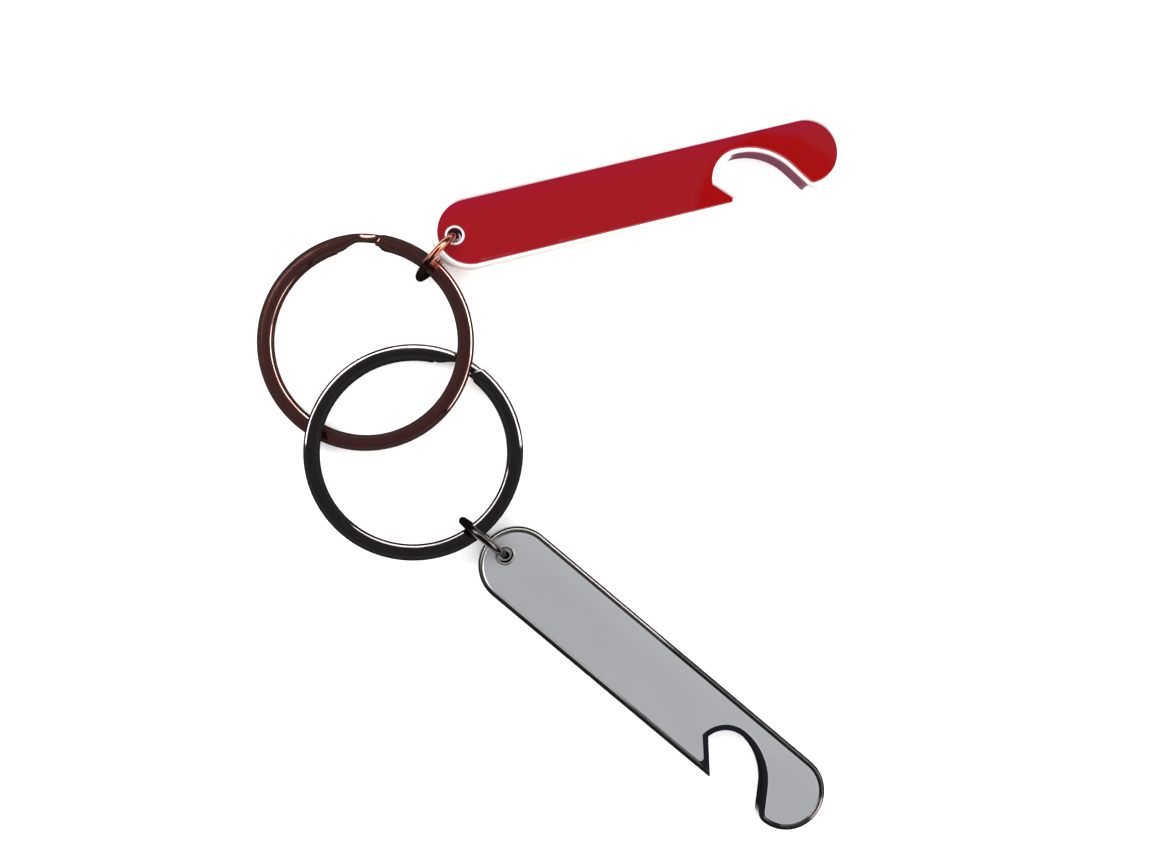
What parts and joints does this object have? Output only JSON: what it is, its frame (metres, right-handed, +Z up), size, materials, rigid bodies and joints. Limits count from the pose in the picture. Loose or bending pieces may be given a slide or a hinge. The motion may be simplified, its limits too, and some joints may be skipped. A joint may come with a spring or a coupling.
{
  "type": "keychain bottle opener",
  "caption": "Flat enamelled bottle openers with a hooked cap notch, each hung by a jump ring on a split key ring, with the split rings linked together.",
  "frame": {"origin": "on the table, below the middle of the outline seen from above", "axes": "+Z up from the table, +Y from the grey opener's head towards the red opener, +X from the split rings towards the heads"},
  "size_m": [0.0819, 0.0999, 0.0086],
  "materials": {
    "copper_plate": "polished",
    "red_enamel": "satin",
    "copper_wire": "polished",
    "dark_copper_wire": "polished",
    "gunmetal_plate": "polished",
    "grey_enamel": "satin",
    "black_wire": "polished",
    "black_ring_wire": "polished"
  },
  "bodies": {
    "copper_ring": {"copper_split_ring": "dark_copper_wire"},
    "black_ring": {"black_split_ring": "black_ring_wire"},
    "copper_jump": {"copper_jump_ring": "copper_wire"},
    "black_jump": {"black_jump_ring": "black_wire"},
    "red_opener": {"red_opener_casting": "copper_plate", "red_enamel_inlay": "red_enamel"},
    "grey_opener": {"grey_opener_casting": "gunmetal_plate", "grey_enamel_inlay": "grey_enamel"}
  },
  "joints": [
    {"name": "rings_turn_through_each_other", "type": "hinge", "parent": "copper_ring", "child": "black_ring", "pos_m": [-0.0191, 0.00235, 0.00285], "axis": [0.0644, 0.1115, 0.9917], "range_deg": [-100, 30]},
    {"name": "copper_jump_ring_lift", "type": "hinge", "parent": "copper_ring", "child": "copper_jump", "pos_m": [-0.01693, 0.02792, 0.00392], "axis": [0.7597, -0.65, 0.0173], "range_deg": [0, 90]},
    {"name": "black_jump_ring_lift", "type": "hinge", "parent": "black_ring", "child": "black_jump", "pos_m": [-0.01029, -0.00839, 0.00348], "axis": [-0.7711, -0.6253, 0.1204], "range_deg": [0, 90]},
    {"name": "red_opener_swing", "type": "hinge", "parent": "copper_jump", "child": "red_opener", "pos_m": [-0.01362, 0.03177, 0.00435], "axis": [0.049, 0.0128, 0.9987], "range_deg": [-3, 72]},
    {"name": "grey_opener_swing", "type": "hinge", "parent": "black_jump", "child": "grey_opener", "pos_m": [-0.00662, -0.01176, 0.00435], "axis": [0.0387, -0.0326, 0.9987], "range_deg": [-46, 29]}
  ]
}
